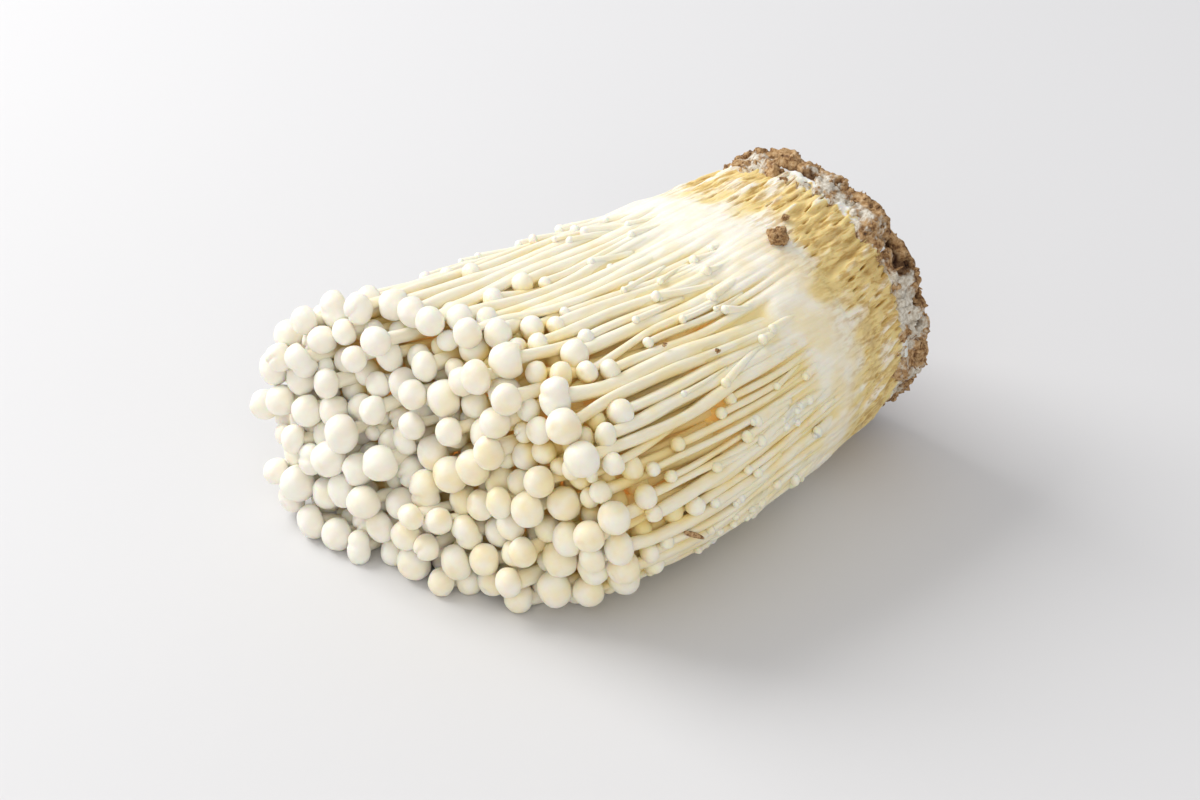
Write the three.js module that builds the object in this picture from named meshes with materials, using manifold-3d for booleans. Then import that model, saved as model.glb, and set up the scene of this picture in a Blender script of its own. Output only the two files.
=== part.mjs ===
// Enoki mushroom cluster lying on its side: a sawdust crust, the foot where all the stems have
// grown together, and a flaring sheaf of tufts. A tuft is a few stems joined for their lower
// half, each with a round cap.
//
// Millimetres, +Z up. The sheaf runs along X with its caps towards -X, and bends towards +Y.
// The origin is under the middle of the cluster, on the surface that the cluster lies on.

import * as THREE from "three";
import { mergeVertices } from "three/addons/utils/BufferGeometryUtils.js";
import Module from "manifold-3d";

const wasm = await Module();
wasm.setup();

// ---- Driving dimensions ----

const CLEARANCE = 0.4; // between pieces that lie against each other
const CLEARANCE_MARGIN = 1.05; // for the corners of a room, which bend

// The sheaf's outline. Distances along the sheaf start where the crust meets the foot.
const FOOT_RADIUS = 36.5;
const FOOT_RISE = 5.5; // how much higher than the caps' end the foot's end is held
const FLARE_DISTANCE = 105; // where the sheaf is at its widest
const FLARE_HALF_WIDTH = 56;
const FLARE_HEIGHT = 72;
const FLARE_EASE = 1.6; // above 1, the sheaf widens quickly at first and then less and less
const SQUARENESS = 2.3; // exponent of the section's outline, 2 being an ellipse
const PRESSED_DEPTH = 4; // how far the underside is pressed flat
const FOOT_SLANT = 3.5; // how far the crust's lower edge lies behind its middle
const SIDE_BEND = 15; // how far the sheaf has bent sideways at its caps

// How far the foremost caps are from the crust at the sheaf's middle, and how that changes
// towards the longer side, upwards, towards the edge and round the shoulder, which is the
// upper part of the shorter side.
const MIDDLE_LENGTH = 125;
const SIDE_LENGTHENING = 17;
const TOP_SHORTENING = 20;
const EDGE_SHORTENING = 13;
const SHOULDER_GROWTH = 28;
const SHOULDER_ANGLE = 2.35;
const SHOULDER_WIDTH = 1.05;
const FAR_GROWTH = 12;
const FAR_ANGLE = 0.7;
const FAR_WIDTH = 0.7;
const LENGTH_SPREAD = 10;

const CRUST_THICKNESS = 9;
const CRUST_OVERHANG = 1.2;
const CRUST_ROUGHNESS = 1.6;
const CRUST_SIDES = 32;
const FOOT_LENGTH = 24;
const FLUTE_DEPTH = 0.9;
const FLUTES = 26;

const TUFTS_PER_RING = [1, 6, 12, 18];
const FUSED_DISTANCE = 58; // where the stems of a tuft part, give or take FUSED_SPREAD
const FUSED_SPREAD = 8;
const STEM_RADIUS = 1.8;
const STEM_WANDER = 1.2;
const CAP_RADIUS = 4.6;
const CAP_RADIUS_SPREAD = 0.9;
const NECK_BELOW_CAP = 0.75; // from the cap's middle to where the stem meets it, in cap radii
const CAP_PROFILE = [[0.95, -0.3], [0.9, 0.45], [0, 0.92]]; // out and up, in cap radii
const MUSHROOM_SIDES = 6;
const SHORTER_BY = 5.5; // how much shorter each further mushroom of a tuft is
const SMALLER_BY = 0.35; // and how much smaller its cap's radius is

const CRUMB_RADIUS = 3;
const CRUMB_ROUGHNESS = 0.1; // as a share of its radius

const ROOM_STEP = 30; // longest stretch of a tuft's room with straight sides
const BEYOND_CAPS = 1.25; // share of the section that no cap reaches

// Where the mushrooms of a tuft stand in its share of the section: [outwards, sideways], each
// from -1 to 1. The outer tufts show three stems on the outside of the sheaf.
const INNER_PLACES = [[-0.5, 0], [0.4, -0.48], [0.4, 0.48]];
const OUTER_PLACES = [[-0.4, 0], [0.78, 0], [0.72, 0.6], [0.72, -0.6]];

// Crumbs of sawdust that lie on the sheaf: angle round it, distance along it, size.
const CRUMBS = [[1.93, 26, 1], [1.84, 18, 0.45], [2.3, 66, 0.32], [2.14, 77, 0.28]];
const SPLINTER_LENGTH = 7;
const SPLINTER_WIDTH = 1.1;
const SPLINTER_THICKNESS = 0.8;
const SPLINTER_PLACE = { angle: 3.36, distance: 88, turn: -0.6 };

// ---- Materials ----

function finish(color, roughness) {
  return new THREE.MeshStandardMaterial({ color, roughness, metalness: 0 });
}

const SAWDUST = finish(0x9a7448, 0.95);
const FOOT_FLESH = finish(0xe3d3a0, 0.7);
const STEM_FLESH = finish(0xf4ecd2, 0.55);

// ---- Sheaf space ----
// A point of the sheaf is an angle round it, a share of the way out from its middle line, and a
// distance along it. place() gives where such a point lies.

const { clamp, lerp, smoothstep } = THREE.MathUtils;
const UPWARDS = new THREE.Vector3(0, 0, 1);

// A number from 0 to 1 that looks random but is the same for the same key.
function chance(key) {
  const wave = Math.sin(key * 12.9898) * 43758.5453;
  return wave - Math.floor(wave);
}

function section(distance) {
  const flare = 1 - (1 - clamp(distance / FLARE_DISTANCE, 0, 1)) ** FLARE_EASE;
  return {
    halfWidth: lerp(FOOT_RADIUS, FLARE_HALF_WIDTH, flare),
    halfHeight: lerp(FOOT_RADIUS, FLARE_HEIGHT / 2, flare),
    side: SIDE_BEND * (distance / MIDDLE_LENGTH) ** 2,
    rise: FOOT_RISE * (1 - flare) - PRESSED_DEPTH,
  };
}

// How much further out the section reaches at this angle than an ellipse would.
function bulge(angle) {
  const across = Math.abs(Math.cos(angle)) ** SQUARENESS;
  const upright = Math.abs(Math.sin(angle)) ** SQUARENESS;
  return (across + upright) ** (-1 / SQUARENESS);
}

function place(angle, share, distance) {
  const { halfWidth, halfHeight, side, rise } = section(distance);
  const across = share * bulge(angle) * Math.cos(angle);
  const upwards = share * bulge(angle) * Math.sin(angle);
  const slant = FOOT_SLANT * (1 - smoothstep(distance, 0, FUSED_DISTANCE));
  return new THREE.Vector3(
    -distance - slant * (upwards + across / 2),
    side + halfWidth * across,
    Math.max(0, halfHeight * (1 + upwards) + rise),
  );
}

// The turn from one angle to another, from minus half a turn to half a turn.
function turnFrom(one, other) {
  return THREE.MathUtils.euclideanModulo(other - one + Math.PI, 2 * Math.PI) - Math.PI;
}

// How far along the sheaf the foremost caps are, for a place in the section.
function fullLength(angle, share) {
  const across = share * Math.cos(angle);
  const upwards = share * Math.sin(angle);
  const edge = EDGE_SHORTENING * share ** 4;
  const near = SHOULDER_GROWTH * share * Math.exp(-((turnFrom(SHOULDER_ANGLE, angle) / SHOULDER_WIDTH) ** 2));
  const far = FAR_GROWTH * share * Math.exp(-((turnFrom(FAR_ANGLE, angle) / FAR_WIDTH) ** 2));
  return MIDDLE_LENGTH + SIDE_LENGTHENING * across - TOP_SHORTENING * upwards - edge + near + far;
}

// ---- Solids ----

// Moves each vertex of a geometry to where move() puts it.
function moved(geometry, move) {
  const position = geometry.getAttribute("position");
  for (let i = 0; i < position.count; i += 1) {
    const point = move(new THREE.Vector3().fromBufferAttribute(position, i));
    position.setXYZ(i, point.x, point.y, point.z);
  }
  return geometry;
}

function solidFrom(geometry) {
  const bare = geometry.clone();
  bare.deleteAttribute("normal");
  bare.deleteAttribute("uv");
  const merged = mergeVertices(bare, 1e-3);
  const vertProperties = merged.getAttribute("position").array;
  const triVerts = new Uint32Array(merged.index.array);
  return new wasm.Manifold(new wasm.Mesh({ numProp: 3, vertProperties, triVerts }));
}

function geometryFrom(solid) {
  const mesh = solid.getMesh();
  const geometry = new THREE.BufferGeometry();
  geometry.setAttribute("position", new THREE.BufferAttribute(mesh.vertProperties, 3));
  geometry.setIndex(new THREE.BufferAttribute(mesh.triVerts, 1));
  geometry.computeVertexNormals();
  return geometry;
}

// A smooth uneven height, from about -1 to 1.
function lump({ x, y, z }) {
  const broad = Math.sin(0.31 * y + 0.9) * Math.cos(0.27 * z);
  const middling = Math.sin(0.53 * z + 0.4 * y + 0.35 * x);
  const narrow = Math.cos(0.71 * y - 0.6 * z);
  return (broad + middling + narrow) / 3;
}

const cluster = new THREE.Group();

function addPiece(name, geometry, material) {
  const mesh = new THREE.Mesh(geometry, material);
  mesh.name = name;
  cluster.add(mesh);
  return mesh;
}

// ---- Crust: what is left of the sawdust that the cluster grew on ----

function crustGeometry() {
  const back = -CRUST_THICKNESS;
  const rim = 1 + CRUST_OVERHANG / FOOT_RADIUS;
  // Share of the section and distance along the sheaf, from the back round to the foot.
  const profile = [[0, back], [0.38, back], [0.7, back], [0.93, back], [rim, back * 0.75]];
  profile.push([rim, back * 0.3], [1, -CLEARANCE], [0, -CLEARANCE]);
  const outline = profile.map(([share, distance]) => new THREE.Vector2(share, distance));
  return moved(new THREE.LatheGeometry(outline, CRUST_SIDES), (point) => {
    const angle = Math.atan2(point.z, point.x);
    const placed = place(angle, Math.hypot(point.x, point.z), point.y);
    const backwards = smoothstep(-point.y, CRUST_THICKNESS / 2, CRUST_THICKNESS);
    placed.x += CRUST_ROUGHNESS * lump(placed) * backwards;
    return placed;
  });
}

// ---- Foot: the lower ends of all the stems, grown into one mass ----

function footGeometry() {
  const length = FOOT_LENGTH - CLEARANCE;
  const drum = new THREE.CylinderGeometry(1, 1, length, FLUTES * 2, 2);
  return moved(drum, (point) => {
    const angle = Math.atan2(point.z, point.x);
    const groove = (FLUTE_DEPTH / FOOT_RADIUS) * (1 - Math.cos(angle * FLUTES)) * 0.5;
    const share = Math.hypot(point.x, point.z) * (1 - groove);
    return place(angle, share, point.y + length / 2);
  });
}

// ---- Tufts ----

// The span of shares and angles that belongs to one tuft of a ring.
function cellOf(ring, index) {
  const rings = TUFTS_PER_RING.length - 0.5;
  const turn = (2 * Math.PI) / TUFTS_PER_RING[ring];
  return {
    low: Math.max(0, ring - 0.5) / rings,
    high: (ring + 0.5) / rings,
    from: index * turn,
    turn,
  };
}

// A tuft's room in the sheaf between two distances, held clear of its neighbours'. The middle
// tuft's is round, and the others' are bounded by two angles and two shares. The outer tufts'
// reaches out to the share outermost.
function roomSolid(ring, index, start, end, outermost) {
  const { low, high, from, turn } = cellOf(ring, index);
  const length = end - start;
  const steps = Math.ceil(length / ROOM_STEP);
  const isOuter = ring === TUFTS_PER_RING.length - 1;
  const room = ring === 0
    ? new THREE.CylinderGeometry(1, 1, length, 10, steps).rotateX(Math.PI / 2)
    : new THREE.BoxGeometry(1, 1, length, 2, 1, steps);
  return solidFrom(moved(room, (point) => {
    const distance = point.z + start + length / 2;
    const gap = CLEARANCE / 2 / section(distance).halfHeight;
    if (ring === 0) {
      const share = Math.hypot(point.x, point.y) * (high - gap);
      return place(Math.atan2(point.x, point.y), share, distance);
    }
    const inner = low + gap;
    const outer = isOuter ? outermost : high - gap;
    const angle = from + turn / 2 + point.x * (turn - (2 * CLEARANCE_MARGIN * gap) / inner);
    return place(angle, point.y < 0 ? inner : outer, distance);
  }));
}

// A mushroom is turned upright, as a stem with a full dome whose edge is rolled in, and then
// bent along the path of its stem. The path ends at the middle of the cap.
function mushroomSolid({ path, radius }) {
  const length = path.getLength();
  const neck = length - radius * NECK_BELOW_CAP;
  const profile = [[0, 0], [STEM_RADIUS, 0], [STEM_RADIUS, neck / 2], [STEM_RADIUS, neck]];
  CAP_PROFILE.forEach(([out, up]) => profile.push([radius * out, length + radius * up]));
  const outline = profile.map(([out, along]) => new THREE.Vector2(out, along));
  return solidFrom(moved(new THREE.LatheGeometry(outline, MUSHROOM_SIDES), (point) => {
    const along = clamp(point.y / length, 0, 1);
    const tangent = path.getTangentAt(along);
    const across = new THREE.Vector3().crossVectors(tangent, UPWARDS).normalize();
    const outwards = new THREE.Vector3().crossVectors(across, tangent);
    return path.getPointAt(along)
      .addScaledVector(across, point.x)
      .addScaledVector(outwards, point.z)
      .addScaledVector(tangent, point.y - along * length);
  }));
}

// One mushroom of a tuft: where its stem runs, up to the middle of its cap, and the cap's size.
function mushroom(ring, index, number, [outwards, sideways]) {
  const { low, high, from, turn } = cellOf(ring, index);
  const key = 100 * ring + 10 * index + number + 1;
  const share = lerp(low, high, 0.5 + outwards / 2);
  const angle = from + turn * (0.5 + sideways / 2);
  const shortening = number * SHORTER_BY + LENGTH_SPREAD * (chance(key) - 0.5);
  const tip = fullLength(angle, share) - shortening;
  const spread = CAP_RADIUS_SPREAD * (2 * chance(key + 0.5) - 1);
  const radius = CAP_RADIUS - SMALLER_BY * number + spread;
  const stops = [FUSED_DISTANCE - 2 * FUSED_SPREAD, lerp(FUSED_DISTANCE, tip, 0.5), tip];
  const points = stops.map((distance, step) => {
    const wander = (STEM_WANDER / FLARE_HALF_WIDTH) * (chance(key + step) - 0.5) * Math.sign(step);
    const point = place(angle + wander, share, distance);
    point.z = Math.max(point.z, step === 2 ? radius * 0.8 : STEM_RADIUS);
    return point;
  });
  return { path: new THREE.CatmullRomCurve3(points), radius };
}

function tuftSolid(ring, index) {
  const isOuter = ring === TUFTS_PER_RING.length - 1;
  const places = isOuter ? OUTER_PLACES : INNER_PLACES;
  const grown = places
    .map((standing, number) => mushroomSolid(mushroom(ring, index, number, standing)))
    .reduce((joined, next) => joined.add(next));
  const reach = MIDDLE_LENGTH + SIDE_LENGTHENING + LENGTH_SPREAD + 2 * CAP_RADIUS;
  const room = roomSolid(ring, index, FUSED_DISTANCE - 3 * FUSED_SPREAD, reach, BEYOND_CAPS);
  const parting = FUSED_DISTANCE + FUSED_SPREAD * (2 * chance(7 * ring + index) - 1);
  return roomSolid(ring, index, FOOT_LENGTH, parting, 1).add(grown.intersect(room));
}

// ---- The cluster ----

addPiece("substrate_crust", crustGeometry(), SAWDUST);
addPiece("stem_base", footGeometry(), FOOT_FLESH);

let tuftNumber = 0;
TUFTS_PER_RING.forEach((count, ring) => {
  for (let index = 0; index < count; index += 1) {
    tuftNumber += 1;
    const name = "tuft_" + String(tuftNumber).padStart(2, "0");
    addPiece(name, geometryFrom(tuftSolid(ring, index)), STEM_FLESH);
  }
});

// Sets a piece on the outside of the sheaf, its own lift above the outline.
function setOnSheaf(piece, angle, distance, lift) {
  const outwards = new THREE.Vector3(0, Math.cos(angle), Math.sin(angle));
  piece.position.copy(place(angle, 1, distance)).addScaledVector(outwards, lift);
}

CRUMBS.forEach(([angle, distance, scale], index) => {
  const radius = CRUMB_RADIUS * scale;
  const ball = new THREE.IcosahedronGeometry(radius, 1);
  const rough = moved(ball, (point) => {
    return point.multiplyScalar(1 + CRUMB_ROUGHNESS * lump(point.clone().multiplyScalar(4 / scale)));
  });
  const crumb = addPiece("sawdust_crumb_" + (index + 1), rough, SAWDUST);
  setOnSheaf(crumb, angle, distance, radius * (1 + CRUMB_ROUGHNESS) + CLEARANCE);
});

const chip = new THREE.BoxGeometry(SPLINTER_LENGTH, SPLINTER_WIDTH, SPLINTER_THICKNESS);
const splinter = addPiece("wood_splinter", chip, SAWDUST);
const { angle, distance, turn } = SPLINTER_PLACE;
splinter.rotation.set(angle - Math.PI / 2, 0, turn, "XZY");
setOnSheaf(splinter, angle, distance, CAP_RADIUS * 0.5 + SPLINTER_THICKNESS / 2 + CLEARANCE);

const extent = new THREE.Box3().setFromObject(cluster);
const middle = extent.getCenter(new THREE.Vector3());
cluster.position.set(-middle.x, -middle.y, -extent.min.z);

export default cluster;
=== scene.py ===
import math

import bpy
import numpy as np
from mathutils import Matrix, Vector


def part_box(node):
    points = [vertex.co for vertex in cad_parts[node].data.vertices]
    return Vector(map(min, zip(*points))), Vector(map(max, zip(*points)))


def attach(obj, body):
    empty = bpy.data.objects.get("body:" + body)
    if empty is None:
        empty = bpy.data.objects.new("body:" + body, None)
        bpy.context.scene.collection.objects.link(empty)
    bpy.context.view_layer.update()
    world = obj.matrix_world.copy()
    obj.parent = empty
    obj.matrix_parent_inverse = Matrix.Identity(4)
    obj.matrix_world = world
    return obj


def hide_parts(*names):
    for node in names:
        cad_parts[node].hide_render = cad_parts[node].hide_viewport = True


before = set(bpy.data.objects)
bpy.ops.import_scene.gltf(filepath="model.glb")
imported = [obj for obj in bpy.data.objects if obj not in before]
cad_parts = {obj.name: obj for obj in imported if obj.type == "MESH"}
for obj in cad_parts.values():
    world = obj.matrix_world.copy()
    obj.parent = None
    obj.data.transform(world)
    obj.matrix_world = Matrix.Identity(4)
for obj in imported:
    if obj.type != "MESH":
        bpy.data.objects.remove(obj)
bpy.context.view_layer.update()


# ---- Crust ----
# What is left of the sawdust that the bunch grew on, pulled off with it: a thick crumbly disc
# across the end of the foot, held together by white threads of the mushroom.

# The crust also sets out the sheaf, whose points are given as an angle round it, a share of
# the way out from its middle line, and a distance in millimetres from the crust.
MM = 0.001
FOOT_RADIUS = 36.5
FOOT_RISE = 5.5
FOOT_SLANT = 3.5
FOOT_LENGTH = 24.0
FLARE_DISTANCE = 105.0
FLARE_HALF_WIDTH = 56.0
FLARE_HALF_HEIGHT = 36.0
FLARE_EASE = 1.6
SQUARENESS = 2.3
PRESSED_DEPTH = 4.0
SIDE_BEND = 15.0
FUSED_DISTANCE = 58.0
MIDDLE_LENGTH = 125.0
SIDE_LENGTHENING = 17.0
TOP_SHORTENING = 20.0
EDGE_SHORTENING = 13.0
SHOULDER_GROWTH = 28.0
SHOULDER_ANGLE = 2.35
SHOULDER_WIDTH = 1.05
FAR_GROWTH = 12.0
FAR_ANGLE = 0.7
FAR_WIDTH = 0.7
CLEARANCE = 0.4

# The middle of the crust's front face. It is found from the foot's box further down.
sheaf_origin = np.zeros(3)


def smoothstep(value, low, high):
    """How far a value has come from low to high, eased at both ends."""
    t = np.clip((value - low) / (high - low), 0.0, 1.0)
    return t * t * (3.0 - 2.0 * t)


def section(distance):
    """Half width, half height, sideways shift and rise of the sheaf at a distance."""
    flare = 1.0 - (1.0 - np.clip(distance / FLARE_DISTANCE, 0.0, 1.0)) ** FLARE_EASE
    half_width = FOOT_RADIUS + (FLARE_HALF_WIDTH - FOOT_RADIUS) * flare
    half_height = FOOT_RADIUS + (FLARE_HALF_HEIGHT - FOOT_RADIUS) * flare
    side = SIDE_BEND * (distance / MIDDLE_LENGTH) ** 2
    rise = FOOT_RISE * (1.0 - flare) - PRESSED_DEPTH
    return half_width, half_height, side, rise


def directions(angle):
    """How far across and up the outline lies at an angle, as shares of the half sizes."""
    across = np.cos(angle)
    upright = np.sin(angle)
    sum_of_powers = np.abs(across) ** SQUARENESS + np.abs(upright) ** SQUARENESS
    bulge = sum_of_powers ** (-1.0 / SQUARENESS)
    return across * bulge, upright * bulge


def place(angle, share, distance, lowest=0.0):
    """A point of the sheaf in the part's own frame, in millimetres."""
    half_width, half_height, side, rise = section(distance)
    across, upright = directions(angle)
    slant = FOOT_SLANT * (1.0 - smoothstep(distance, 0.0, FUSED_DISTANCE))
    x = -distance - slant * share * (upright + across / 2.0)
    y = side + half_width * share * across
    z = np.maximum(lowest, half_height * (1.0 + share * upright) + rise)
    return np.stack(np.broadcast_arrays(x, y, z), axis=-1) + sheaf_origin


def unplace(points):
    """Angle, share and distance of points of the part's own frame."""
    local = points - sheaf_origin
    distance = -local[..., 0]
    for _ in range(2):
        half_width, half_height, side, rise = section(distance)
        across = (local[..., 1] - side) / half_width
        upright = (local[..., 2] - rise) / half_height - 1.0
        slant = FOOT_SLANT * (1.0 - smoothstep(distance, 0.0, FUSED_DISTANCE))
        distance = -local[..., 0] - slant * (upright + across / 2.0)
    angle = np.arctan2(upright, across)
    edge_across, edge_upright = directions(angle)
    share = np.hypot(across, upright) / np.hypot(edge_across, edge_upright)
    return angle, share, distance


def girth(angle, distance):
    """How many millimetres the outline is from the middle line."""
    half_width, half_height, _, _ = section(distance)
    across, upright = directions(angle)
    return np.hypot(half_width * across, half_height * upright)


def full_length(angle, share):
    """How far from the crust the foremost caps are, at this place in the section."""
    along_side = SIDE_LENGTHENING * share * np.cos(angle)
    along_top = TOP_SHORTENING * share * np.sin(angle)
    near_turn = (angle - SHOULDER_ANGLE + math.pi) % (2.0 * math.pi) - math.pi
    near_growth = SHOULDER_GROWTH * share * np.exp(-(near_turn / SHOULDER_WIDTH) ** 2)
    far_turn = (angle - FAR_ANGLE + math.pi) % (2.0 * math.pi) - math.pi
    far_growth = FAR_GROWTH * share * np.exp(-(far_turn / FAR_WIDTH) ** 2)
    shortened = MIDDLE_LENGTH - along_top - EDGE_SHORTENING * share ** 4
    return shortened + along_side + near_growth + far_growth


all_round = np.linspace(-math.pi, math.pi, 721)
foot_box = np.array(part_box("stem_base")) / MM
foot_reach = place(all_round, 1.0, 0.0)[:, 0].max()
foot_side = place(all_round, 1.0, FOOT_LENGTH - CLEARANCE)[:, 1].max()
sheaf_origin = np.array([foot_box[1, 0] - foot_reach, foot_box[1, 1] - foot_side, 0.0])


def lattice_noise(points, seed):
    """Smooth noise from -1 to 1 with one feature to a unit."""
    cell = np.floor(points).astype(np.int64)
    blend = points - cell
    blend = blend * blend * (3.0 - 2.0 * blend)
    total = np.zeros(points.shape[:-1])
    for corner in range(8):
        step = np.array([corner & 1, corner >> 1 & 1, corner >> 2 & 1])
        key = (cell + step) * np.array([73856093, 19349663, 83492791])
        mixed = (key[..., 0] ^ key[..., 1] ^ key[..., 2]) + seed * 2654435761 & 0xFFFFFFFF
        mixed = (mixed ^ mixed >> 15) * 2246822519 & 0xFFFFFFFF
        mixed = (mixed ^ mixed >> 13) * 3266489917 & 0xFFFFFFFF
        height = (mixed ^ mixed >> 16) / 0x7FFFFFFF - 1.0
        weight = np.where(step, blend, 1.0 - blend)
        total += height * weight[..., 0] * weight[..., 1] * weight[..., 2]
    return total


def unevenness(points, size, octaves, seed):
    """Noise with features of a size in millimetres, and finer ones at half the height each."""
    total = np.zeros(points.shape[:-1])
    for octave in range(octaves):
        total += lattice_noise(points * (2.0 ** octave / size), seed * 16 + octave) * 0.5 ** octave
    return total


def round_the_sheaf(angle, distance, stretch=1.0, turn_radius=40.0):
    """Points for noise that meets itself after a turn, drawn out along the sheaf."""
    x = distance / stretch
    y = turn_radius * np.cos(angle)
    z = turn_radius * np.sin(angle)
    return np.stack(np.broadcast_arrays(x, y, z), axis=-1)


def add_piece(name, points, faces, material, stands_for, values=(), bake_map=None):
    """Makes a smooth piece from points in millimetres and arrays of faces."""
    mesh = bpy.data.meshes.new(name)
    corners = np.concatenate([block.ravel() for block in faces])
    counts = np.concatenate([np.full(len(block), block.shape[1]) for block in faces])
    starts = np.cumsum(counts) - counts
    mesh.vertices.add(len(points))
    mesh.vertices.foreach_set("co", np.ascontiguousarray(points * MM, np.float32).ravel())
    mesh.loops.add(len(corners))
    mesh.loops.foreach_set("vertex_index", corners.astype(np.int32))
    mesh.polygons.add(len(counts))
    mesh.polygons.foreach_set("loop_start", starts.astype(np.int32))
    mesh.update(calc_edges=True)
    mesh.shade_smooth()
    for key, amounts in dict(values).items():
        layer = mesh.attributes.new(key, "FLOAT", "POINT")
        layer.data.foreach_set("value", np.ascontiguousarray(amounts, np.float32).ravel())
    if bake_map is not None:
        layer = mesh.uv_layers.new(name="OFBake")
        layer.uv.foreach_set("vector", np.ascontiguousarray(bake_map, np.float32).ravel())
    mesh.materials.append(material)
    piece = bpy.data.objects.new(name, mesh)
    bpy.context.scene.collection.objects.link(piece)
    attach(piece, "root")
    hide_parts(stands_for)


def drum_faces(count, around):
    """Faces of a closed drum of rings, with a middle point at each end after all the rings."""
    index = np.arange(count * around).reshape(count, around)
    ahead = np.roll(index, -1, axis=1)
    sides = np.stack([index[:-1], index[1:], ahead[1:], ahead[:-1]], axis=-1).reshape(-1, 4)
    start = np.stack([index[0], ahead[0], np.full(around, count * around)], axis=-1)
    end = np.stack([ahead[-1], index[-1], np.full(around, count * around + 1)], axis=-1)
    return [sides, np.concatenate([start, end])]


def with_ends(rings):
    """What a drum's rings hold in one list, and then the means of its two end rings."""
    flat = rings.reshape(-1, *rings.shape[2:])
    return np.concatenate([flat, rings[:1].mean(axis=1), rings[-1:].mean(axis=1)])


def drum_map(count, around):
    """A drum's bake map, for its side and for the fan at each end."""
    row, column = np.mgrid[0:count - 1, 0:around]
    left = column / around
    right = (column + 1) / around
    low = 0.03 + 0.94 * row / (count - 1)
    high = 0.03 + 0.94 * (row + 1) / (count - 1)
    sides = np.stack([left, low, left, high, right, high, right, low], axis=-1).reshape(-1, 2)
    one = np.arange(around) / around
    next_one = one + 1.0 / around
    start = np.stack([one, one * 0 + 0.028, next_one, one * 0 + 0.028, one, one * 0], axis=-1)
    end = np.stack([next_one, one * 0 + 0.972, one, one * 0 + 0.972, one, one * 0 + 1], axis=-1)
    return np.concatenate([sides, start.reshape(-1, 2), end.reshape(-1, 2)])


def new_group(name, inputs, outputs):
    """An empty shader node group. Inputs are names with a start value."""
    group = bpy.data.node_groups.new(name, "ShaderNodeTree")
    for key, start in inputs.items():
        kind = "NodeSocketColor" if isinstance(start, tuple) else "NodeSocketFloat"
        socket = group.interface.new_socket(key, in_out="INPUT", socket_type=kind)
        socket.default_value = start
    for key, kind in outputs.items():
        group.interface.new_socket(key, in_out="OUTPUT", socket_type=kind)
    given = group.nodes.new("NodeGroupInput").outputs
    result = group.nodes.new("NodeGroupOutput").inputs
    return group, given, result


def connect(tree, value, socket):
    """Links a node's output to a socket, or sets the socket to a plain value."""
    if isinstance(value, bpy.types.NodeSocket):
        tree.links.new(value, socket)
    else:
        socket.default_value = value


def noise(tree, scale, detail=2.0, roughness=0.5, stretch=(1.0, 1.0, 1.0)):
    """Noise in the piece's own coordinates, with scale features to a metre."""
    coordinates = tree.nodes.new("ShaderNodeTexCoord")
    mapping = tree.nodes.new("ShaderNodeMapping")
    mapping.inputs["Scale"].default_value = stretch
    tree.links.new(coordinates.outputs["Object"], mapping.inputs["Vector"])
    pattern = tree.nodes.new("ShaderNodeTexNoise")
    tree.links.new(mapping.outputs["Vector"], pattern.inputs["Vector"])
    connect(tree, scale, pattern.inputs["Scale"])
    pattern.inputs["Detail"].default_value = detail
    pattern.inputs["Roughness"].default_value = roughness
    return pattern.outputs["Fac"]


def colours_over(tree, source, stops):
    """A colour ramp of (place, colour) stops."""
    ramp = tree.nodes.new("ShaderNodeValToRGB")
    elements = ramp.color_ramp.elements
    for stop, _ in stops[2:]:
        elements.new(stop)
    for element, (stop, colour) in zip(elements, stops):
        element.position = stop
        element.color = (*colour, 1.0)
    tree.links.new(source, ramp.inputs["Fac"])
    return ramp.outputs["Color"]


def between(tree, source, low, high, to_low=0.0, to_high=1.0):
    """How far source has come from low to high, smoothly, as a value from to_low to to_high."""
    node = tree.nodes.new("ShaderNodeMapRange")
    node.interpolation_type = "SMOOTHSTEP"
    sockets = ("Value", "From Min", "From Max", "To Min", "To Max")
    for key, value in zip(sockets, (source, low, high, to_low, to_high)):
        connect(tree, value, node.inputs[key])
    return node.outputs["Result"]


def mixed(tree, amount, one, other, blend="MIX"):
    """One colour laid over or multiplied into another, by an amount."""
    node = tree.nodes.new("ShaderNodeMix")
    node.data_type = "RGBA"
    node.blend_type = blend
    for key, value in (("Factor_Float", amount), ("A_Color", one), ("B_Color", other)):
        socket = next(s for s in node.inputs if s.identifier == key)
        connect(tree, value, socket)
    return next(s for s in node.outputs if s.identifier == "Result_Color")


def worked_out(tree, operation, one, other):
    """The result of a sum with two values."""
    node = tree.nodes.new("ShaderNodeMath")
    node.operation = operation
    connect(tree, one, node.inputs[0])
    connect(tree, other, node.inputs[1])
    return node.outputs["Value"]


def painted(tree, key):
    """The value that the mesh carries under this name."""
    node = tree.nodes.new("ShaderNodeAttribute")
    node.attribute_name = key
    return node.outputs["Fac"]


def placed_group(tree, group, **values):
    """The outputs of a node group put into a material with its own values."""
    node = tree.nodes.new("ShaderNodeGroup")
    node.node_tree = group
    for key, value in values.items():
        connect(tree, value, node.inputs[key.replace("_", " ").capitalize()])
    return node.outputs


def new_material(name, roughness, soaks_in=0.0, soak_depth=1.0):
    """A material's node tree and shader. Light soaks in to soak_depth millimetres."""
    material = bpy.data.materials.new(name)
    material.use_nodes = True
    shader = material.node_tree.nodes["Principled BSDF"]
    shader.inputs["Roughness"].default_value = roughness
    shader.inputs["Subsurface Weight"].default_value = soaks_in
    shader.inputs["Subsurface Radius"].default_value = (1.0, 0.62, 0.28)
    shader.inputs["Subsurface Scale"].default_value = soak_depth * MM
    return material, material.node_tree, shader


def raise_surface(tree, shader, height, depth):
    """Bump of a depth in millimetres."""
    bump = tree.nodes.new("ShaderNodeBump")
    bump.inputs["Distance"].default_value = depth * MM
    tree.links.new(height, bump.inputs["Height"])
    tree.links.new(bump.outputs["Normal"], shader.inputs["Normal"])


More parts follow.
